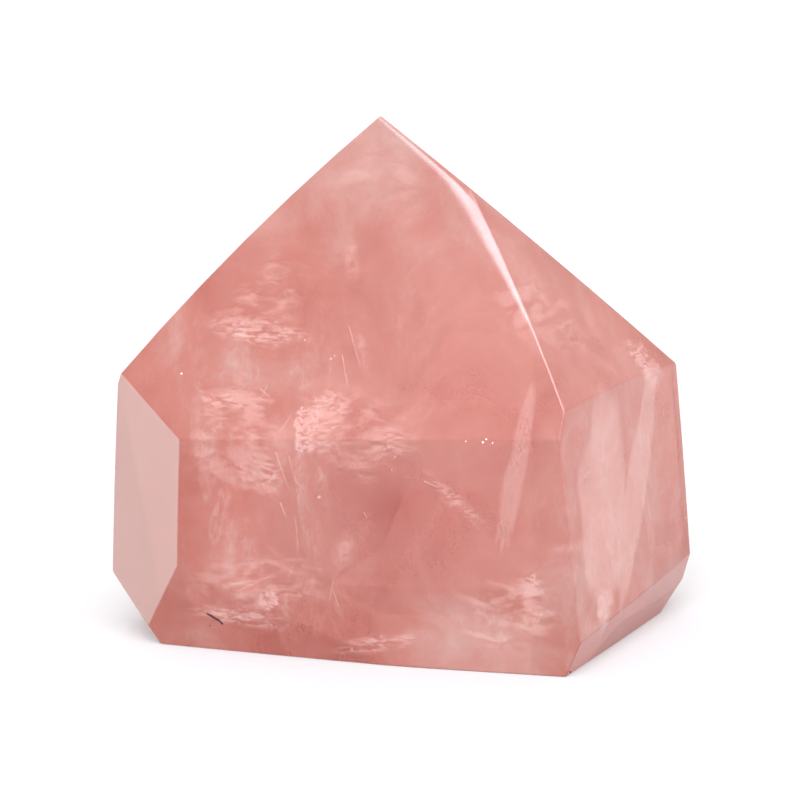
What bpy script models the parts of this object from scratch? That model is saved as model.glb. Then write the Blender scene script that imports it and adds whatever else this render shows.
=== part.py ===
"""Rose quartz point: one crystal, cut and polished into a broad low point that stands on a flat base.

Metres, +Z up. The broad front face looks along -Y. The origin is in the surface that the stone
stands on, in the middle of the stone's box.
"""
import math

import bmesh
import bpy
from mathutils import Vector

MM = 0.001

# driving dimensions
HEART_HEIGHT = 38.4 * MM
BLANK_SIZE = 300 * MM
EDGE_ROUNDING = 0.3 * MM
SLIGHT_CROWN_RADIUS = 1500 * MM
FULL_CROWN_RADIUS = 390 * MM

# Each facet is a flat cut through the rough stone: how far it is turned to the right of the front
# and leaned up from the side, in degrees, and how far it lies from the stone's heart.
FACETS = {
    "front": (-11.5, 0.0, 22.5 * MM),
    "front_slope": (-13.5, 30.5, 17.8 * MM),
    "right": (59.0, 6.0, 34.3 * MM),
    "right_slope": (59.0, 37.0, 28.6 * MM),
    "right_edge_slope": (102.5, 49.0, 30.1 * MM),
    "back_right": (117.0, 3.0, 41.4 * MM),
    "back_right_slope": (142.0, 43.5, 31.0 * MM),
    "back": (174.0, 3.0, 43.5 * MM),
    "back_left_slope": (-141.0, 20.5, 20.2 * MM),
    "back_left": (-118.0, 2.5, 34.5 * MM),
    "left": (-38.0, 1.0, 33.1 * MM),
    "front_left_bevel": (-16.5, -11.0, 29.2 * MM),
    "left_bevel": (-78.0, -32.0, 53.2 * MM),
    "right_bevel": (62.0, -21.0, 46.6 * MM),
    "back_right_bevel": (114.0, -45.0, 54.8 * MM),
    "back_bevel": (176.0, -42.0, 55.5 * MM),
    "base": (0.0, -90.0, HEART_HEIGHT),
}

# How far the polishing wheel swells a facet is given by the radius of the ball that it follows.
CROWN_RADII = {name: SLIGHT_CROWN_RADIUS for name in FACETS}
CROWN_RADII["right_slope"] = FULL_CROWN_RADIUS
CROWN_RADII["back_left_slope"] = FULL_CROWN_RADIUS
BASE = "base"

SAME_CORNER = 0.6 * MM
DIVISIONS = 3
SETTLING_STEPS = 40
RIDGE_ANGLE = math.radians(8)

ROSE = (0.72, 0.26, 0.25, 1.0)


def facing(name):
    """The direction that a facet faces."""
    turn, lean, _ = FACETS[name]
    turn = math.radians(turn)
    lean = math.radians(lean)
    return Vector((
        math.sin(turn) * math.cos(lean),
        -math.cos(turn) * math.cos(lean),
        math.sin(lean),
    ))


def cut_facets(bm):
    """Saws the blank flat along every facet and closes each cut."""
    for name, (_, _, reach) in FACETS.items():
        cut = bmesh.ops.bisect_plane(
            bm,
            geom=bm.verts[:] + bm.edges[:] + bm.faces[:],
            plane_co=facing(name) * reach,
            plane_no=facing(name),
            clear_outer=True,
        )
        rim = [item for item in cut["geom_cut"] if isinstance(item, bmesh.types.BMEdge)]
        bmesh.ops.contextual_create(bm, geom=rim)
    bmesh.ops.recalc_face_normals(bm, faces=bm.faces[:])


def crown_ball(face, name):
    """The middle and radius of the ball that a crowned facet follows, through its corners."""
    middle = face.calc_center_median_weighted()
    spread = sum((vert.co - middle).length_squared for vert in face.verts) / len(face.verts)
    radius = CROWN_RADII[name]
    return middle - facing(name) * math.sqrt(radius ** 2 - spread), radius


def settle(bm, balls):
    """Draws each point onto the balls of all the facets that it belongs to, so ridges stay shared."""
    facet_of = bm.faces.layers.int["facet"]
    names = list(FACETS)
    for vert in bm.verts:
        shared = [names[index] for index in sorted({face[facet_of] for face in vert.link_faces})]
        for _ in range(SETTLING_STEPS):
            for name in shared:
                if name == BASE:
                    vert.co.z = -HEART_HEIGHT
                else:
                    centre, radius = balls[name]
                    vert.co = centre + (vert.co - centre).normalized() * radius


def crown_facets(bm):
    """Swells each facet a little, as a polishing wheel does: first the corners, then what lies between."""
    names = list(FACETS)
    facet_of = bm.faces.layers.int.new("facet")
    balls = {}
    for face in bm.faces:
        name = max(names, key=lambda candidate: face.normal.dot(facing(candidate)))
        face[facet_of] = names.index(name)
        balls[name] = crown_ball(face, name)
    bmesh.ops.remove_doubles(bm, verts=bm.verts[:], dist=SAME_CORNER)
    settle(bm, balls)
    bmesh.ops.poke(bm, faces=bm.faces[:])
    bmesh.ops.subdivide_edges(bm, edges=bm.edges[:], cuts=DIVISIONS, use_grid_fill=True)
    settle(bm, balls)


def round_ridges(bm):
    """Takes the keenness off every ridge and corner."""
    ridges = [edge for edge in bm.edges if edge.calc_face_angle() > RIDGE_ANGLE]
    bmesh.ops.bevel(
        bm,
        geom=ridges,
        offset=EDGE_ROUNDING,
        segments=1,
        profile=0.5,
        affect="EDGES",
        material=-1,
        clamp_overlap=True,
    )


def stand_on_origin(bm):
    """Moves the stone until the middle of its box is over the origin and its base is at Z = 0."""
    low = [min(vert.co[axis] for vert in bm.verts) for axis in range(3)]
    high = [max(vert.co[axis] for vert in bm.verts) for axis in range(3)]
    shift = Vector((-(low[0] + high[0]) / 2, -(low[1] + high[1]) / 2, -low[2]))
    bmesh.ops.translate(bm, verts=bm.verts[:], vec=shift)


def polished_quartz():
    """Rose quartz with a lapidary polish."""
    material = bpy.data.materials.new("rose_quartz")
    material.use_nodes = True
    shader = material.node_tree.nodes["Principled BSDF"]
    shader.inputs["Base Color"].default_value = ROSE
    shader.inputs["Roughness"].default_value = 0.08
    shader.inputs["Metallic"].default_value = 0.0
    shader.inputs["IOR"].default_value = 1.54
    return material


def build_point():
    """The whole stone, one closed solid."""
    bm = bmesh.new()
    bmesh.ops.create_cube(bm, size=BLANK_SIZE)
    cut_facets(bm)
    crown_facets(bm)
    round_ridges(bm)
    stand_on_origin(bm)
    mesh = bpy.data.meshes.new("rose_quartz_point")
    bm.to_mesh(mesh)
    bm.free()
    mesh.materials.append(polished_quartz())
    point = bpy.data.objects.new("rose_quartz_point", mesh)
    bpy.context.scene.collection.objects.link(point)


for leftover in list(bpy.data.objects):
    bpy.data.objects.remove(leftover, do_unlink=True)

build_point()
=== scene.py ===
"""Rose quartz point: the looks of the cut and polished stone, and of the veils and fractures in it."""
import math

import bmesh
import bpy
from mathutils import Matrix, Vector, noise


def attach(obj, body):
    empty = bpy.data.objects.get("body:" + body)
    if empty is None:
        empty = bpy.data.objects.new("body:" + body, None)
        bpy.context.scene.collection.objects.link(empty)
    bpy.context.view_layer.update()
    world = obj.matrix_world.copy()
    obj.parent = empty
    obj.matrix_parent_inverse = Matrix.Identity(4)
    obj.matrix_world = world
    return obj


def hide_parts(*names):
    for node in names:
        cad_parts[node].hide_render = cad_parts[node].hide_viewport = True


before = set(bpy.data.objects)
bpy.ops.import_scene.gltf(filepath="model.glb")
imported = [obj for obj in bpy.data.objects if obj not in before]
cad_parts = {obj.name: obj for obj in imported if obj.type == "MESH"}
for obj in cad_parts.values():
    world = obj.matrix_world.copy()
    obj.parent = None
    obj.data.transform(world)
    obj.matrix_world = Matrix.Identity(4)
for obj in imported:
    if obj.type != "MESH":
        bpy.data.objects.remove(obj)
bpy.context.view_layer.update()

MM = 0.001

# the stone, cut as its solid is
HEART_HEIGHT = 38.4 * MM
BLANK_SIZE = 300 * MM
EDGE_ROUNDING = 0.3 * MM
EDGE_STEPS = 4
SLIGHT_CROWN_RADIUS = 1500 * MM
FULL_CROWN_RADIUS = 390 * MM

# Each facet is a flat cut through the rough stone: how far it is turned to the right of the front
# and leaned up from the side, in degrees, and how far it lies from the stone's heart.
FACETS = {
    "front": (-11.5, 0.0, 22.5 * MM),
    "front_slope": (-13.5, 30.5, 17.8 * MM),
    "right": (59.0, 6.0, 34.3 * MM),
    "right_slope": (59.0, 37.0, 28.6 * MM),
    "right_edge_slope": (102.5, 49.0, 30.1 * MM),
    "back_right": (117.0, 3.0, 41.4 * MM),
    "back_right_slope": (142.0, 43.5, 31.0 * MM),
    "back": (174.0, 3.0, 43.5 * MM),
    "back_left_slope": (-141.0, 20.5, 20.2 * MM),
    "back_left": (-118.0, 2.5, 34.5 * MM),
    "left": (-38.0, 1.0, 33.1 * MM),
    "front_left_bevel": (-16.5, -11.0, 29.2 * MM),
    "left_bevel": (-78.0, -32.0, 53.2 * MM),
    "right_bevel": (62.0, -21.0, 46.6 * MM),
    "back_right_bevel": (114.0, -45.0, 54.8 * MM),
    "back_bevel": (176.0, -42.0, 55.5 * MM),
    "base": (0.0, -90.0, HEART_HEIGHT),
}

# How far the polishing wheel swells a facet is given by the radius of the ball that it follows.
CROWN_RADII = {name: SLIGHT_CROWN_RADIUS for name in FACETS}
CROWN_RADII["right_slope"] = FULL_CROWN_RADIUS
CROWN_RADII["back_left_slope"] = FULL_CROWN_RADIUS
BASE = "base"

SAME_CORNER = 0.6 * MM
DIVISIONS = 5
SETTLING_STEPS = 40
RIDGE_ANGLE = math.radians(8)

# Where the polish rolls a facet over before it meets a ridge: the facet, its neighbour, and the width
# of the rolled strip at two heights above the heart, with nothing below the lower one.
RIDGE_ROLLS = (
    ("front_slope", "right_slope", (10 * MM, 0.0), (31 * MM, 4.0 * MM)),
    ("front_slope", "right_edge_slope", (30 * MM, 3.0 * MM), (42 * MM, 1.0 * MM)),
)
ROLL_SHARE = 0.28
ROLL_FINENESS = 3.0
ROLL_CUTS = (0.2 * MM, 0.5 * MM, 0.9 * MM, 1.4 * MM, 2.1 * MM, 3.0 * MM, 4.0 * MM)

# how the stone takes the light
QUARTZ_IOR = 1.54
POLISH_ROUGHNESS = 0.03
MILKY_SHARE = 0.45

# The patterns of the milky body: how large and how strong each is, and its noise.
CLOUD_SIZE = 12 * MM
WISP_SIZE = 9 * MM
FIBRE_SIZE = 2.2 * MM
GRAIN_SIZE = 0.45 * MM
CLOUD_STRENGTH = 0.55
WISP_STRENGTH = 0.35
GRAIN_STRENGTH = 0.06
CLOUD_NOISE = {"Detail": 5.0, "Roughness": 0.55, "Distortion": 0.6}
WISP_NOISE = {"Detail": 4.0, "Roughness": 0.6, "Distortion": 1.2}
FIBRE_NOISE = {"Detail": 5.0, "Roughness": 0.65, "Distortion": 2.0}
GRAIN_NOISE = {"Detail": 2.0, "Roughness": 0.6}

# The wisps are turned, and drawn out along their own height. Both they and their fibres go from
# none to full between two tones of their noise, and the fibres never go out altogether.
WISP_TURN = (0.3, 0.9, 0.5)
WISP_STRETCH = (1.0, 1.0, 0.45)
WISP_LIMITS = (0.47, 0.66)
FIBRE_LIMITS = (0.42, 0.68)
FEWEST_FIBRES = 0.25

# The body's colours from clear and deep to milky and pale, and the tint of what is seen through it.
ROSE_TONES = ((0.0, "A63F31"), (0.35, "BC5445"), (0.65, "DB8C7D"), (1.0, "F4D2C8"))
CLEAR_TINT = "DBA499"
ABSORPTION_TINT = "ECA191"
ABSORPTION_DENSITY = 12.0

# How milky the stone's surface is, from 0 to 1: how much everywhere, what some facets add or take,
# and what some places add or take, each with its middle and its reach in mm. What the facets add or
# take is painted light and shade: the left facet is painted paler, as if lit from the left, and the
# right bevel darker, as if in shade. The place at the tip is painted light too: the thin tip paler,
# as if lit through from above and behind. After that, in the same way, how wispy it is.
MILK = 0.31
# painted light and shade per facet: the left facet paler as if lit from the left, the right bevel darker as
# if in shade
FACET_PAINTED_LIGHT_AND_SHADE = {
    "left": 0.52,
    "left_bevel": 0.2,
    "right": 0.03,
    "right_bevel": -0.15,
    "back_left": 0.15,
}
MILKY_PLACES_AND_LIT_TIP = (
    # The first place, at the tip, is painted light: the thin tip paler, as if lit through from above and
    # behind.
    ((0.0, -8.0, 80.0), 16.0, 0.2), ((-22.0, -16.0, 53.0), 10.0, 0.05), ((12.0, -34.0, 2.0), 10.0, 0.24),
    ((22.0, -35.0, 14.0), 9.0, 0.1), ((6.0, -26.0, 48.0), 12.0, -0.06), ((3.0, -31.0, 22.0), 12.0, -0.18),
    ((-16.0, -27.0, 1.0), 10.0, -0.15), ((16.0, -31.0, 40.0), 9.0, -0.08), ((-31.0, -23.0, 5.0), 8.0, 0.1),
)
WISPS = 0.12
WISPY_PLACES = (
    ((-10.0, -30.0, 34.0), 11.0, 0.6), ((-24.0, -22.0, 50.0), 10.0, 0.4),
    ((-20.0, -28.0, 10.0), 12.0, 0.6), ((18.0, -36.0, 8.0), 11.0, 0.35),
    ((34.0, -20.0, 20.0), 14.0, 0.5), ((-26.0, -24.0, 26.0), 9.0, 0.4),
    ((10.0, 30.0, 40.0), 18.0, 0.5), ((-30.0, 14.0, 36.0), 16.0, 0.5),
    ((6.0, -38.0, 22.0), 9.0, 0.25), ((-41.0, -20.0, 26.0), 9.0, 0.4), ((4.0, -28.0, 44.0), 9.0, 0.3),
)

# Each veil or fracture is a thin oval sheet in the stone: its kind, its middle in mm, how far it is
# turned to the right of the front and leaned back, in degrees, its length and width in mm, and how
# far its length is turned up from level. The haze bands cross the whole stone.
SHEETS = (
    ("cloud", (-23, -10.5, 53.5), -20, 31, (21, 15), 15),
    ("cloud", (-7.5, -17.5, 33.5), 5, 15, (21, 14), -30),
    ("cloud", (-24.5, -18, 32), -25, 5, (20, 18.5), 80),
    ("milk", (-6, -16, 45), 10, 25, (8, 2.5), -80),
    ("milk", (-7.5, -8, 57), -10, 35, (9, 3), -80),
    ("feather", (-2, -22, 33), -5, 25, (11, 3.5), -5),
    ("feather", (-21.5, -18.5, 28), -30, 0, (10, 8), -65),
    ("crack", (-14.5, -21, 34.5), 10, 15, (6, 4), 85),
    ("rainbow", (-15, -19.5, 28.5), 20, 5, (7, 3), -80),
    ("feather", (8.5, -21, 24.5), -10, 15, (15, 3), -40),
    ("milk", (-8.5, -20, 16), 20, 5, (8, 4), 70),
    ("streak", (17, -30, 31), 14, -3, (29, 3.5), 80),
    ("feather", (25, -30, 19), 0, 5, (9, 1.5), 5),
    ("feather", (-25, -21, 5.5), -15, 25, (19, 3.5), -5),
    ("feather", (-3, -27, 3), 0, 30, (18, 3.5), 10),
    ("crack", (-20.5, -23, 8.5), 0, 10, (3, 3), -60),
    ("milk", (28, -32, 5.5), 60, -5, (8, 4), -20),
    ("feather", (29.5, -27.5, 8.5), 45, 10, (6, 5), 10),
    ("feather", (19.5, -30, 13), 0, 5, (5, 4.5), -50),
    ("streak", (29, -25, 23), 60, 5, (38, 15), 85),
    ("streak", (34, -14.5, 23.5), 58, 5, (39, 7), 65),
    ("feather", (36, -7, 41), 60, 30, (10, 6), -60),
    ("cloud", (-22, -21.5, 11), -11, 2, (25, 13), 5),
    ("cloud", (16, -29, 8.5), 0, 0, (18, 15), 0),
    ("cloud", (-3.5, -8.5, 69), -10, 38, (16, 12), -60),
    ("feather", (-22, -12, 47), -5, 30, (18, 5), -5),
    ("feather", (-10.5, -17, 35), 15, 15, (9, 7.5), 80),
    ("feather", (-26, -15.5, 37), -20, 5, (14, 4.5), 0),
    ("cloud", (19.5, -16.5, 51), 55, 30, (24, 14), -65),
    ("haze", (-7, 10, 30), -20, 8, (120, 120), 0),
    ("haze", (-1.5, -0.5, 37), -5, -6, (120, 120), 0),
    ("haze", (0, -12, 39), 12, 10, (120, 120), 0),
)
SHEET_THICKNESS = 0.06 * MM
SHEET_GAP = 0.5 * MM
SHEET_SIDES = 24
SHEET_DIVISIONS = 5
RAGGEDNESS = 0.35
RIM_LOBES = 2.0
RIPPLE_SIZE = 6.0 * MM
WISP_SLANT = math.radians(25)

# For each kind of sheet: how far its rim fades and how far it ripples.
SHEET_SHAPES = {
    "haze": (12.0 * MM, 2.0 * MM),
    "cloud": (4.0 * MM, 0.8 * MM),
    "milk": (1.3 * MM, 0.3 * MM),
    "feather": (1.6 * MM, 0.8 * MM),
    "streak": (0.5 * MM, 0.1 * MM),
    "crack": (0.3 * MM, 0.5 * MM),
    "rainbow": (0.5 * MM, 0.2 * MM),
}

# For each kind: its pattern's size and how far that is drawn out, between which tones it goes from
# clear to full, how full it gets, its darker and paler colour, and the strength of its painted glow,
# which stands in for the light that it scatters.
SHEET_LOOKS = {
    "haze": (14 * MM, 1.0, 0.25, 0.7, 0.35, ("CF8377", "DDA297"), 0.4),
    "cloud": (2.0 * MM, 2.2, 0.42, 0.66, 0.7, ("F4D6CF", "FBE9E5"), 0.55),
    "milk": (1.2 * MM, 1.5, 0.3, 0.65, 0.7, ("FBE9E5", "FFFFFF"), 0.5),
    "feather": (0.6 * MM, 3.5, 0.42, 0.6, 0.9, ("FDF0ED", "FFFFFF"), 0.7),
    "streak": (1.0 * MM, 0.3, 0.2, 0.65, 0.75, ("F9E5E0", "FFF8F6"), 0.55),
    "crack": (0.5 * MM, 1.3, 0.44, 0.54, 1.0, ("FFFFFF", "FFFFFF"), 0.9),
    "rainbow": (1.6 * MM, 1.0, 0.35, 0.65, 0.5, ("D98AB4", "F6B98A"), 0.5),
}
VEIL_NOISE = {"Scale": 1.0, "Detail": 5.0, "Roughness": 0.62, "Distortion": 0.8}
VEIL_TONE_PLACES = (0.35, 0.65)
VEIL_ROUGHNESS = 0.5
VEIL_GLOSS = 0.1
# The tint of the painted glow of the veils and the white flecks.
PAINTED_GLOW_TINT = "B8DCE6"
SHEET_NAMES = {
    "haze": "haze_bands",
    "cloud": "cloudy_veils",
    "milk": "milky_spots",
    "feather": "feathery_cracks",
    "streak": "straight_veils",
    "crack": "open_cracks",
    "rainbow": "rainbow_crack",
}

# Fine bright lines in the stone: both ends and the thickness at the first, in mm.
NEEDLES = (
    ((-9, -17, 44.5), (-8.5, -18.5, 42), 0.16),
    ((-8.5, -18.5, 42), (-8, -19.5, 40), 0.14),
    ((-8, -15, 48.5), (-6, -18, 42), 0.12),
    ((-18.5, -23, 24), (-17.5, -22, 21.5), 0.2),
    ((-21.5, -18, 39.5), (-20, -19, 38.5), 0.16),
    ((-20.5, -18, 40), (-21.5, -19, 38), 0.1),
    ((-26, -21.5, 10.5), (-19, -21.5, 12), 0.14),
    ((-25, -21.5, 9.5), (-17.5, -22, 13.5), 0.1),
    ((20, -29.5, 15), (20, -29.5, 11.5), 0.16),
    ((21, -31, 9), (20, -30.5, 6.5), 0.16),
    ((-11, -22.5, 8.5), (-10, -21.5, 12.5), 0.1),
    ((-9.5, -22.5, 7.5), (-10.5, -21.5, 10.5), 0.1),
    ((-18.5, -20.5, 33), (-16.5, -18.5, 35.5), 0.14),
    ((-5.5, -21.5, 22.5), (-5, -21.5, 21.5), 0.14),
    ((-19, -20.5, 31.5), (-17, -20, 25.5), 0.16),
    ((-17, -21, 31), (-16, -20.5, 27), 0.12),
    ((-16, -20.5, 27), (-14.5, -20, 25.5), 0.12),
    ((-16, -20.5, 21), (-15.5, -19.5, 14), 0.1),
    ((3.5, -24, 28), (6, -24.5, 27), 0.16),
    ((26.5, -33.5, 7.5), (27, -30.5, 9.5), 0.14),
    ((29.5, -27, 7.5), (29, -27, 10), 0.14),
)
NEEDLE_SIDES = 5
NEEDLE_TAPER = 0.35

# Tiny bright flecks: the middle and the width, in mm.
FLECKS = (
    ((11.5, -34.5, 36), 0.32), ((12, -34.5, 36.5), 0.26), ((13, -34.5, 36), 0.22), ((9, -34, 36), 0.2),
    ((-34, -19.5, 43), 0.3), ((-31, -17.5, 40.5), 0.24), ((-11, -21.5, 45.5), 0.44),
    ((-10.5, -21.5, 46), 0.36), ((-15, -19.5, 48), 0.36), ((-13, -21, 38.5), 0.34),
    ((-11.5, -21.5, 38.5), 0.4), ((-10.5, -21.5, 38.5), 0.3), ((-1, -25.5, 32), 0.34),
    ((-12.5, -23, 25), 0.6), ((-16, -22.5, 34.5), 0.3), ((-16, -23.5, 33), 0.26),
    ((-24, -20.5, 27), 0.4), ((-21, -21, 26.5), 0.34), ((38, -10.5, 26.5), 0.24),
    ((38, -10.5, 25), 0.18), ((19.5, -31.5, 13.5), 0.26), ((-25, -12, 52), 0.2),
    ((-6, -16.5, 50.5), 0.22), ((23.5, -34, 40), 0.2), ((15.5, -30.5, 4.5), 0.3),
    ((14.5, -30.5, 3.5), 0.22), ((-19.5, -15, 49.5), 0.22), ((-1.5, -25.5, 30), 0.24),
    ((-26.5, -20, 28.5), 0.3), ((-28.5, -20, 33.5), 0.24), ((-29.5, -19.5, 21.5), 0.22),
    ((-9, -14.5, 52.5), 0.16),
)
FLECK_FLATNESS = 0.4

# A dark thread of mineral just under the front left bevel, point by point, and two dark specks, in mm.
THREAD = ((-30.5, -25, 6), (-29.5, -25, 5.5), (-28.5, -25, 5), (-28, -25, 4.5))
THREAD_THICKNESS = 0.26
DARK_BITS = (((-30, -24.5, 4), 0.22), ((25, -35.5, 0.5), 0.3))

# How far above its facet's plane a mark may lie: about as far as the crowned polish does there.
MARK_HEIGHT = 0.15 * MM

# The two kinds of speck: the darker and the paler colour, the roughness and the strength of a painted glow,
# which makes the white flecks shine as if they caught the light.
SPECK_NOISE = {"Detail": 2.0}
SPECK_TONE_PLACES = (0.3, 0.7)
BRUISE_LOOK = (("FFF4F1", "FFFFFF"), 0.3, 1.2)
OXIDE_LOOK = (("2A1512", "4B2A24"), 0.6, 0.0)

# The tent: how high its walls reach and where its roof is full, as the sine of the height, and how
# bright they are beside plain white. The lamps: their direction, how far from its middle each is
# full and where it ends, in degrees, and how bright it is.
TENT_WALL_TOP = 0.15
TENT_ROOF = 0.75
TENT_WALL_LIGHT = 0.8
TENT_ROOF_LIGHT = 1.3
LAMPS = (
    (-6.0, 56.0, 7.0, 16.5, 12.0),
    (38.0, 60.0, 7.0, 15.0, 5.0),
)
LAMP_COLOUR = "F4F4FF"

# the floor under the stone
FLOOR_GLOW = 0.26
FLOOR_TONES = ("B8B8B8", "BCBCBC")
FLOOR_TONE_PLACES = (0.0, 1.0)
FLOOR_GRAIN_SIZE = MM / 0.9
FLOOR_NOISE = {"Detail": 2.0}
FLOOR_ROUGHNESS = 0.9
FLOOR_GLOSS = 0.1
FLOOR_HALF_WIDTH = 4.0
FLOOR_GAP = 0.02 * MM

# the camera, in metres and, for its sensor and lens, in millimetres
CAMERA_PLACE = (-0.0007, -0.5208, 0.1682)
CAMERA_AIM = (-0.0007, -0.0364, 0.0384)
CAMERA_SENSOR = 36.0
CAMERA_LENS = 153.0
CAMERA_SHIFT = 0.0386
CAMERA_CLIPS = (0.01, 20.0)

# Enough bounces for light that runs to and fro inside the stone, and no stray bright dots.
FILM = {
    "max_bounces": 16,
    "glossy_bounces": 8,
    "transmission_bounces": 14,
    "diffuse_bounces": 4,
    "transparent_max_bounces": 24,
    "use_denoising": True,
    "use_adaptive_sampling": True,
    "adaptive_threshold": 0.02,
    "sample_clamp_indirect": 3.0,
}


def direction(turn, lean):
    """The way that a thing faces, turned to the right of the front and leaned up, in degrees."""
    turn = math.radians(turn)
    lean = math.radians(lean)
    return Vector((
        math.sin(turn) * math.cos(lean),
        -math.cos(turn) * math.cos(lean),
        math.sin(lean),
    ))


def facing(name):
    """The direction that a facet faces."""
    turn, lean, _ = FACETS[name]
    return direction(turn, lean)


def cut_facets(bm):
    """Saws the blank flat along every facet and closes each cut."""
    for name, (_, _, reach) in FACETS.items():
        cut = bmesh.ops.bisect_plane(
            bm,
            geom=bm.verts[:] + bm.edges[:] + bm.faces[:],
            plane_co=facing(name) * reach,
            plane_no=facing(name),
            clear_outer=True,
        )
        rim = [item for item in cut["geom_cut"] if isinstance(item, bmesh.types.BMEdge)]
        bmesh.ops.contextual_create(bm, geom=rim)
    bmesh.ops.recalc_face_normals(bm, faces=bm.faces[:])


def crown_ball(face, name):
    """The middle and radius of the ball that a crowned facet follows, through its corners."""
    middle = face.calc_center_median_weighted()
    spread = sum((vert.co - middle).length_squared for vert in face.verts) / len(face.verts)
    radius = CROWN_RADII[name]
    return middle - facing(name) * math.sqrt(radius ** 2 - spread), radius


def settle(bm, balls):
    """Draws each point onto the balls of all the facets that it belongs to, so ridges stay shared."""
    facet_of = bm.faces.layers.int["facet"]
    names = list(FACETS)
    for vert in bm.verts:
        shared = [names[index] for index in sorted({face[facet_of] for face in vert.link_faces})]
        for _ in range(SETTLING_STEPS):
            for name in shared:
                if name == BASE:
                    vert.co.z = -HEART_HEIGHT
                else:
                    centre, radius = balls[name]
                    vert.co = centre + (vert.co - centre).normalized() * radius


def crown_facets(bm):
    """Swells each facet a little, as a polishing wheel does, and returns the balls that they follow."""
    names = list(FACETS)
    facet_of = bm.faces.layers.int.new("facet")
    balls = {}
    for face in bm.faces:
        name = max(names, key=lambda candidate: face.normal.dot(facing(candidate)))
        face[facet_of] = names.index(name)
        balls[name] = crown_ball(face, name)
    bmesh.ops.remove_doubles(bm, verts=bm.verts[:], dist=SAME_CORNER)
    settle(bm, balls)
    bmesh.ops.poke(bm, faces=bm.faces[:])
    bmesh.ops.subdivide_edges(bm, edges=bm.edges[:], cuts=DIVISIONS, use_grid_fill=True)
    settle(bm, balls)
    return balls


def round_ridges(bm):
    """Rolls every ridge and corner over, and returns the faces of the rounding."""
    ridges = [edge for edge in bm.edges if edge.calc_face_angle() > RIDGE_ANGLE]
    rolled = bmesh.ops.bevel(
        bm,
        geom=ridges,
        offset=EDGE_ROUNDING,
        segments=EDGE_STEPS,
        profile=0.5,
        affect="EDGES",
        material=-1,
        clamp_overlap=True,
    )
    return set(rolled["faces"])


def ridge_gap(co, name, neighbour, balls):
    """How far a point of a facet is from the ridge that it shares with its neighbour."""
    centre, radius = balls[neighbour]
    return (radius - (co - centre).length) / math.sin(facing(name).angle(facing(neighbour)))


def roll_width(co, low, high):
    """How wide the rolled strip is at the height of a point."""
    share = (co.z - low[0]) / (high[0] - low[0])
    return 0.0 if share < 0 else low[1] + (high[1] - low[1]) * min(share, 1.0)


def cut_rolls(bm, rolled):
    """Divides the strips beside the rolled ridges finely enough to bend the light smoothly."""
    facet_of = bm.faces.layers.int["facet"]
    names = list(FACETS)
    for name, neighbour, _, _ in RIDGE_ROLLS:
        reach = FACETS[neighbour][2]
        slant = math.sin(facing(name).angle(facing(neighbour)))
        for gap in ROLL_CUTS:
            faces = [face for face in bm.faces if names[face[facet_of]] == name and face not in rolled]
            edges = {edge for face in faces for edge in face.edges}
            verts = {vert for face in faces for vert in face.verts}
            edges = sorted(edges, key=lambda edge: edge.index)
            verts = sorted(verts, key=lambda vert: vert.index)
            bmesh.ops.bisect_plane(
                bm,
                geom=verts + edges + faces,
                plane_co=facing(neighbour) * (reach - gap * slant),
                plane_no=facing(neighbour),
            )
            bm.verts.index_update()
            bm.edges.index_update()


def polished_normals(bm, balls, rolled):
    """The direction the polish gives each point: a facet's own, or between two on a rolled ridge."""
    facet_of = bm.faces.layers.int["facet"]
    names = list(FACETS)
    bm.normal_update()
    normals = []
    for vert in bm.verts:
        flats = [face for face in vert.link_faces if face not in rolled]
        name = names[flats[0][facet_of]] if flats else None
        if name is None:
            normals.append(vert.normal.copy())
        elif name == BASE:
            normals.append(facing(BASE))
        else:
            normal = (vert.co - balls[name][0]).normalized()
            for facet, neighbour, low, high in RIDGE_ROLLS:
                width = roll_width(vert.co, low, high)
                if facet != name or width == 0:
                    continue
                gap = ridge_gap(vert.co, name, neighbour, balls)
                if gap < width:
                    share = ROLL_SHARE * (1 - max(gap, 0.0) / width) ** ROLL_FINENESS
                    normal = normal.slerp(facing(neighbour), share)
            normals.append(normal)
    return normals


def stand_on_origin(bm):
    """Moves the middle of the stone's box over the origin and its base to Z = 0, and says how far."""
    low = [min(vert.co[axis] for vert in bm.verts) for axis in range(3)]
    high = [max(vert.co[axis] for vert in bm.verts) for axis in range(3)]
    shift = Vector((-(low[0] + high[0]) / 2, -(low[1] + high[1]) / 2, -low[2]))
    bmesh.ops.translate(bm, verts=bm.verts[:], vec=shift)
    return shift


def rgb(hex_colour):
    """An sRGB hex colour as the linear one that a shader takes."""
    channels = [int(hex_colour[start:start + 2], 16) / 255 for start in (0, 2, 4)]
    linear = [
        value / 12.92 if value <= 0.04045 else ((value + 0.055) / 1.055) ** 2.4
        for value in channels
    ]
    return (*linear, 1.0)


def add_node(tree, kind, inputs=None, **settings):
    """Adds a node with its settings, and sets or links its inputs."""
    node = tree.nodes.new(kind)
    for name, value in settings.items():
        setattr(node, name, value)
    for name, value in (inputs or {}).items():
        if isinstance(value, bpy.types.NodeSocket):
            tree.links.new(value, node.inputs[name])
        else:
            node.inputs[name].default_value = value
    return node


def new_material(name):
    """An empty material and its node tree."""
    material = bpy.data.materials.new(name)
    material.use_nodes = True
    material.node_tree.nodes.clear()
    return material, material.node_tree


def noise_pattern(tree, place, size, character):
    """A noise of a size given in metres."""
    inputs = {"Vector": place, "Scale": 1 / size, **character}
    return add_node(tree, "ShaderNodeTexNoise", inputs).outputs["Fac"]


def product(tree, first, second):
    """Two values multiplied."""
    return add_node(tree, "ShaderNodeMath", {0: first, 1: second}, operation="MULTIPLY").outputs["Value"]


def toned(tree, pattern, places, tones):
    """The colour that a pattern gives, from tone to tone between the places of each."""
    ramp = add_node(tree, "ShaderNodeValToRGB", {"Fac": pattern})
    elements = ramp.color_ramp.elements
    while len(elements) < len(tones):
        elements.new(0.5)
    for element, place, tone in zip(elements, places, tones):
        element.position = place
        element.color = rgb(tone)
    return ramp.outputs["Color"]


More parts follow.
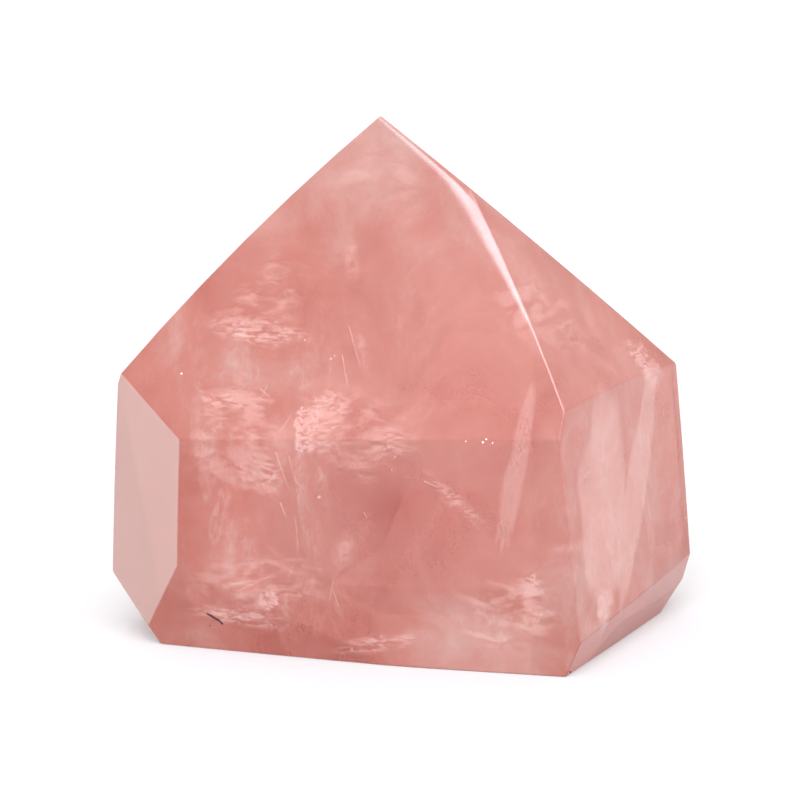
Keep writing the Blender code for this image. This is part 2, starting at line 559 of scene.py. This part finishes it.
def polished_rose_quartz():
    """Rose quartz, cut on a lap and polished with oxide.

    The polish gives it a wet, even gloss over a body that is partly clear and partly milky pink.
    """
    material, tree = new_material("rose_quartz_polished")
    place = add_node(tree, "ShaderNodeTexCoord").outputs["Object"]
    slanted = add_node(
        tree,
        "ShaderNodeMapping",
        {"Vector": place, "Rotation": WISP_TURN, "Scale": WISP_STRETCH},
    ).outputs["Vector"]
    cloud = noise_pattern(tree, place, CLOUD_SIZE, CLOUD_NOISE)
    where_wispy = noise_pattern(tree, slanted, WISP_SIZE, WISP_NOISE)
    fibres = noise_pattern(tree, slanted, FIBRE_SIZE, FIBRE_NOISE)
    grain = noise_pattern(tree, place, GRAIN_SIZE, GRAIN_NOISE)
    thick_wisps = add_node(
        tree,
        "ShaderNodeMapRange",
        {"Value": where_wispy, "From Min": WISP_LIMITS[0], "From Max": WISP_LIMITS[1]},
        interpolation_type="SMOOTHSTEP",
    ).outputs["Result"]
    fine_fibres = add_node(
        tree,
        "ShaderNodeMapRange",
        {
            "Value": fibres,
            "From Min": FIBRE_LIMITS[0],
            "From Max": FIBRE_LIMITS[1],
            "To Min": FEWEST_FIBRES,
            "To Max": 1.0,
        },
    ).outputs["Result"]
    wispy = add_node(tree, "ShaderNodeAttribute", attribute_name="wispy").outputs["Fac"]
    wisps = product(tree, product(tree, thick_wisps, fine_fibres), wispy)
    # The milk attribute brings in painted light and shade as well as milkiness: the paler left facet, the
    # darker right bevel and the lit tip.
    milk = add_node(tree, "ShaderNodeAttribute", attribute_name="milk").outputs["Fac"]
    parts = ((cloud, CLOUD_STRENGTH), (wisps, WISP_STRENGTH), (grain, GRAIN_STRENGTH))
    for pattern, strength in parts:
        milk = add_node(
            tree,
            "ShaderNodeMath",
            {0: pattern, 1: strength, 2: milk},
            operation="MULTIPLY_ADD",
        ).outputs["Value"]
    pink = toned(tree, milk, *zip(*ROSE_TONES))
    clear = add_node(
        tree,
        "ShaderNodeBsdfPrincipled",
        {
            "Base Color": rgb(CLEAR_TINT),
            "Roughness": POLISH_ROUGHNESS,
            "IOR": QUARTZ_IOR,
            "Transmission Weight": 1.0,
        },
    )
    milky = add_node(
        tree,
        "ShaderNodeBsdfPrincipled",
        {"Base Color": pink, "Roughness": POLISH_ROUGHNESS, "IOR": QUARTZ_IOR},
    )
    surface = add_node(
        tree,
        "ShaderNodeMixShader",
        {0: MILKY_SHARE, 1: clear.outputs["BSDF"], 2: milky.outputs["BSDF"]},
    )
    inside = add_node(
        tree,
        "ShaderNodeVolumeAbsorption",
        {"Color": rgb(ABSORPTION_TINT), "Density": ABSORPTION_DENSITY},
    )
    add_node(
        tree,
        "ShaderNodeOutputMaterial",
        {"Surface": surface.outputs["Shader"], "Volume": inside.outputs["Volume"]},
    )
    return material


def show(bm, name, material):
    """Makes a piece of a finished mesh, and lets it ride on the stone's body."""
    for face in bm.faces:
        face.smooth = True
    mesh = bpy.data.meshes.new(name)
    bm.to_mesh(mesh)
    bm.free()
    mesh.materials.append(material)
    piece = bpy.data.objects.new(name, mesh)
    bpy.context.scene.collection.objects.link(piece)
    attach(piece, "root")
    return piece


def spread(co, least, places):
    """How much there is of something at a point in metres: more and more towards each of its places."""
    level = least
    for middle, reach, amount in places:
        level += amount * math.exp(-((co / MM - Vector(middle)).length / reach) ** 2)
    return level


def mark_milk_and_painted_light(bm):
    """Marks how milky and how wispy the stone is at each point of its surface; the milkiness carries the
    painted light and shade of the facets and the tip.
    """
    facet_of = bm.faces.layers.int["facet"]
    names = list(FACETS)
    # The milk attribute holds painted light and shade as well as milkiness: the facets' painted paleness
    # and shade and the painted lit tip.
    milk = bm.verts.layers.float.new("milk")
    wispy = bm.verts.layers.float.new("wispy")
    for vert in bm.verts:
        own = [FACET_PAINTED_LIGHT_AND_SHADE.get(names[face[facet_of]], 0.0) for face in vert.link_faces]
        vert[milk] = spread(vert.co, MILK, MILKY_PLACES_AND_LIT_TIP) + sum(own) / len(own)
        vert[wispy] = spread(vert.co, WISPS, WISPY_PLACES)


def build_stone():
    """The cut and polished stone, which stands for its plain solid; returns where its heart is."""
    bm = bmesh.new()
    bmesh.ops.create_cube(bm, size=BLANK_SIZE)
    cut_facets(bm)
    balls = crown_facets(bm)
    rolled = round_ridges(bm)
    cut_rolls(bm, rolled)
    normals = polished_normals(bm, balls, rolled)
    heart = stand_on_origin(bm)
    mark_milk_and_painted_light(bm)
    stone = show(bm, "polished_stone", polished_rose_quartz())
    stone.data.normals_split_custom_set_from_vertices(normals)
    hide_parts("rose_quartz_point")
    return heart


def sheet_material(kind):
    """Healed cracks full of tiny bubbles, as they grew in the quartz.

    They scatter white light where they are dense, and let it by where they thin out. Their glow is painted
    light: an emission that stands in for the light they scatter.
    """
    material, tree = new_material("quartz_" + SHEET_NAMES[kind])
    size, drawn_out, clear_tone, full_tone, fullness, tones, painted_glow = SHEET_LOOKS[kind]
    material.cycles.emission_sampling = "NONE"
    along = add_node(tree, "ShaderNodeUVMap", uv_map="sheet").outputs["UV"]
    cover = add_node(tree, "ShaderNodeAttribute", attribute_name="cover").outputs["Fac"]
    stretched = add_node(
        tree,
        "ShaderNodeMapping",
        {
            "Vector": along,
            "Rotation": (0.0, 0.0, WISP_SLANT),
            "Scale": (1.0 / (size * drawn_out), 1.0 / size, 1.0),
        },
    ).outputs["Vector"]
    patches = add_node(tree, "ShaderNodeTexNoise", {"Vector": stretched, **VEIL_NOISE}).outputs["Fac"]
    dense = add_node(
        tree,
        "ShaderNodeMapRange",
        {"Value": patches, "From Min": clear_tone, "From Max": full_tone},
        interpolation_type="SMOOTHSTEP",
    ).outputs["Result"]
    alpha = product(tree, product(tree, dense, cover), fullness)
    surface = add_node(
        tree,
        "ShaderNodeBsdfPrincipled",
        {
            "Base Color": toned(tree, patches, VEIL_TONE_PLACES, tones),
            "Roughness": VEIL_ROUGHNESS,
            "Specular IOR Level": VEIL_GLOSS,
            # Painted glow: the sheet glows as if it scattered the light, though it is no lamp.
            "Emission Color": rgb(PAINTED_GLOW_TINT),
            "Emission Strength": painted_glow,
            "Alpha": alpha,
        },
    )
    add_node(tree, "ShaderNodeOutputMaterial", {"Surface": surface.outputs["BSDF"]})
    return material


def past_facet(co, heart, name):
    """How far a point lies past the plane of a facet, and less than nothing where it is within."""
    return (co - heart).dot(facing(name)) - FACETS[name][2]


def add_sheet(kind_bm, kind, number, heart, middle, turn, lean, size, slant):
    """Adds a thin rippled sheet with a fading, ragged rim, closed all round, to the others of its kind."""
    margin, ripple = SHEET_SHAPES[kind]
    length, width = size[0] * MM, size[1] * MM
    where = Vector(middle) * MM
    bm = bmesh.new()
    cover = bm.verts.layers.float.new("cover")
    flat = bm.loops.layers.uv.new("sheet")
    bmesh.ops.create_circle(bm, cap_ends=True, cap_tris=True, segments=SHEET_SIDES, radius=0.5)
    bmesh.ops.subdivide_edges(bm, edges=bm.edges[:], cuts=SHEET_DIVISIONS, use_grid_fill=True)
    for vert in bm.verts:
        out = 2 * vert.co.length
        ragged = 1 + RAGGEDNESS * noise.noise(vert.co.normalized() * RIM_LOBES + Vector((0.0, 0.0, number)))
        vert[cover] = min((1 - out) * width / 2 / margin, 1.0)
        vert.co = Vector((vert.co.x * length * ragged, vert.co.y * width * ragged, 0.0))
    bmesh.ops.rotate(bm, verts=bm.verts[:], matrix=Matrix.Rotation(math.radians(slant), 3, "Z"))
    for face in bm.faces:
        for loop in face.loops:
            loop[flat].uv = (loop.vert.co.x + number * length, loop.vert.co.y)
    for vert in bm.verts:
        vert.co.z = ripple * noise.noise((vert.co + where) / RIPPLE_SIZE)
    front = direction(turn, lean)
    right = Vector((math.cos(math.radians(turn)), math.sin(math.radians(turn)), 0.0))
    axes = Matrix((right, front.cross(right), front)).transposed().to_4x4()
    bmesh.ops.transform(bm, matrix=Matrix.Translation(where) @ axes, verts=bm.verts[:])
    for name, (_, _, reach) in FACETS.items():
        bmesh.ops.bisect_plane(
            bm,
            geom=bm.verts[:] + bm.edges[:] + bm.faces[:],
            plane_co=heart + facing(name) * (reach - SHEET_GAP),
            plane_no=facing(name),
            clear_outer=True,
        )
    for vert in bm.verts:
        below = -max(past_facet(vert.co, heart, name) for name in FACETS) - SHEET_GAP
        vert[cover] = max(min(vert[cover], below / margin), 0.0)
    bmesh.ops.recalc_face_normals(bm, faces=bm.faces[:])
    bmesh.ops.solidify(bm, geom=bm.faces[:], thickness=SHEET_THICKNESS)
    bmesh.ops.recalc_face_normals(bm, faces=bm.faces[:])
    finished = bpy.data.meshes.new("sheet")
    bm.to_mesh(finished)
    bm.free()
    kind_bm.from_mesh(finished)
    bpy.data.meshes.remove(finished)


def add_veils(heart):
    """All the veils and fractures, those of one kind as one piece."""
    for kind, name in SHEET_NAMES.items():
        bm = bmesh.new()
        for number, (sheet_kind, *sheet) in enumerate(SHEETS):
            if sheet_kind == kind:
                add_sheet(bm, kind, number, heart, *sheet)
        show(bm, name, sheet_material(kind))


def speckled(name, look):
    """A mineral speck or a bruise, broken and unpolished: its colour is uneven from grain to grain. A
    bruise has a painted glow, as if it caught the light.
    """
    material, tree = new_material(name)
    tones, roughness, painted_glow = look
    material.cycles.emission_sampling = "NONE"
    place = add_node(tree, "ShaderNodeTexCoord").outputs["Object"]
    grains = noise_pattern(tree, place, GRAIN_SIZE, SPECK_NOISE)
    surface = add_node(
        tree,
        "ShaderNodeBsdfPrincipled",
        {
            "Base Color": toned(tree, grains, SPECK_TONE_PLACES, tones),
            "Roughness": roughness,
            # Painted glow: the white flecks shine as if they caught the light, though they are no lamp.
            "Emission Color": rgb(PAINTED_GLOW_TINT),
            "Emission Strength": painted_glow,
        },
    )
    add_node(tree, "ShaderNodeOutputMaterial", {"Surface": surface.outputs["BSDF"]})
    return material


def below_polish(place, heart):
    """A place given in mm, moved into the stone where it would stand out of the polish."""
    point = Vector(place) * MM
    for name in FACETS:
        too_high = past_facet(point, heart, name) - MARK_HEIGHT
        point -= facing(name) * max(too_high, 0.0)
    return point


def add_rod(bm, start, end, thickness, taper):
    """A thin closed rod from one point to another, with its thickness in mm."""
    turned = (end - start).to_track_quat("Z", "Y").to_matrix().to_4x4()
    bmesh.ops.create_cone(
        bm,
        cap_ends=True,
        cap_tris=False,
        segments=NEEDLE_SIDES,
        radius1=thickness * MM / 2,
        radius2=thickness * MM / 2 * taper,
        depth=(end - start).length,
        matrix=Matrix.Translation((start + end) / 2) @ turned,
    )


def add_fleck(bm, middle, width):
    """A tiny flattened grain, with its width in mm."""
    flattened = Matrix.Diagonal((1.0, FLECK_FLATNESS, 1.0, 1.0))
    bmesh.ops.create_icosphere(
        bm,
        subdivisions=1,
        radius=width * MM / 2,
        matrix=Matrix.Translation(middle) @ flattened,
    )


def add_specks(heart):
    """The bright lines and flecks, and the dark thread with its specks."""
    bm = bmesh.new()
    for start, end, thickness in NEEDLES:
        add_rod(bm, below_polish(start, heart), below_polish(end, heart), thickness, NEEDLE_TAPER)
    for middle, width in FLECKS:
        add_fleck(bm, below_polish(middle, heart), width)
    show(bm, "bright_flecks", speckled("quartz_bruise_white", BRUISE_LOOK))
    bm = bmesh.new()
    thread = [below_polish(place, heart) for place in THREAD]
    for start, end in zip(thread, thread[1:]):
        add_rod(bm, start, end, THREAD_THICKNESS, 1.0)
    for middle, width in DARK_BITS:
        add_fleck(bm, below_polish(middle, heart), width)
    show(bm, "dark_thread", speckled("iron_oxide_brown", OXIDE_LOOK))


def lay_floor():
    """A pale floor of opal acrylic, lit a little from beneath, wide enough to fill every view."""
    material, tree = new_material("opal_acrylic_matt")
    place = add_node(tree, "ShaderNodeTexCoord").outputs["Object"]
    grains = noise_pattern(tree, place, FLOOR_GRAIN_SIZE, FLOOR_NOISE)
    surface = add_node(
        tree,
        "ShaderNodeBsdfPrincipled",
        {
            "Base Color": toned(tree, grains, FLOOR_TONE_PLACES, FLOOR_TONES),
            "Roughness": FLOOR_ROUGHNESS,
            "Specular IOR Level": FLOOR_GLOSS,
            "Emission Color": rgb("FFFFFF"),
            "Emission Strength": FLOOR_GLOW,
        },
    )
    add_node(tree, "ShaderNodeOutputMaterial", {"Surface": surface.outputs["BSDF"]})
    bm = bmesh.new()
    bmesh.ops.create_grid(bm, x_segments=1, y_segments=1, size=FLOOR_HALF_WIDTH)
    bmesh.ops.translate(bm, verts=bm.verts[:], vec=(0.0, 0.0, -FLOOR_GAP))
    mesh = bpy.data.meshes.new("floor")
    bm.to_mesh(mesh)
    bm.free()
    mesh.materials.append(material)
    floor = bpy.data.objects.new("floor", mesh)
    bpy.context.scene.collection.objects.link(floor)


def light_studio():
    """A white tent, brighter overhead, and soft lamps high in front of the stone."""
    world = bpy.data.worlds.new("white_tent")
    world.use_nodes = True
    tree = world.node_tree
    tree.nodes.clear()
    outlook = add_node(tree, "ShaderNodeTexCoord").outputs["Generated"]
    height = add_node(tree, "ShaderNodeSeparateXYZ", {0: outlook}).outputs["Z"]
    strength = add_node(
        tree,
        "ShaderNodeMapRange",
        {
            "Value": height,
            "From Min": TENT_WALL_TOP,
            "From Max": TENT_ROOF,
            "To Min": TENT_WALL_LIGHT,
            "To Max": TENT_ROOF_LIGHT,
        },
        interpolation_type="SMOOTHSTEP",
    ).outputs["Result"]
    tent = add_node(tree, "ShaderNodeBackground", {"Color": rgb("FFFFFF"), "Strength": strength})
    light = tent.outputs["Background"]
    for turn, rise, full, end, brightness in LAMPS:
        nearness = add_node(
            tree,
            "ShaderNodeVectorMath",
            {0: outlook, 1: direction(turn, rise)},
            operation="DOT_PRODUCT",
        ).outputs["Value"]
        glow = add_node(
            tree,
            "ShaderNodeMapRange",
            {
                "Value": nearness,
                "From Min": math.cos(math.radians(end)),
                "From Max": math.cos(math.radians(full)),
                "To Max": brightness,
            },
            interpolation_type="SMOOTHSTEP",
        ).outputs["Result"]
        lamp = add_node(tree, "ShaderNodeBackground", {"Color": rgb(LAMP_COLOUR), "Strength": glow})
        both = add_node(tree, "ShaderNodeAddShader", {0: light, 1: lamp.outputs["Background"]})
        light = both.outputs["Shader"]
    add_node(tree, "ShaderNodeOutputWorld", {"Surface": light})
    bpy.context.scene.world = world


def set_camera():
    """The camera, at the height and distance from which the stone looks as photographed."""
    camera = bpy.data.cameras.new("camera")
    camera.sensor_width = CAMERA_SENSOR
    camera.lens = CAMERA_LENS
    camera.shift_y = CAMERA_SHIFT
    camera.clip_start, camera.clip_end = CAMERA_CLIPS
    holder = bpy.data.objects.new("camera", camera)
    holder.location = CAMERA_PLACE
    view = Vector(CAMERA_AIM) - Vector(CAMERA_PLACE)
    holder.rotation_euler = view.to_track_quat("-Z", "Y").to_euler()
    bpy.context.scene.collection.objects.link(holder)
    bpy.context.scene.camera = holder


def set_film():
    """Plain colours, and the bounces and the cleaning that the picture of the stone needs."""
    scene = bpy.context.scene
    scene.view_settings.view_transform = "Standard"
    for name, value in FILM.items():
        setattr(scene.cycles, name, value)


set_camera()
stone_heart = build_stone()
add_veils(stone_heart)
add_specks(stone_heart)
lay_floor()
light_studio()
set_film()
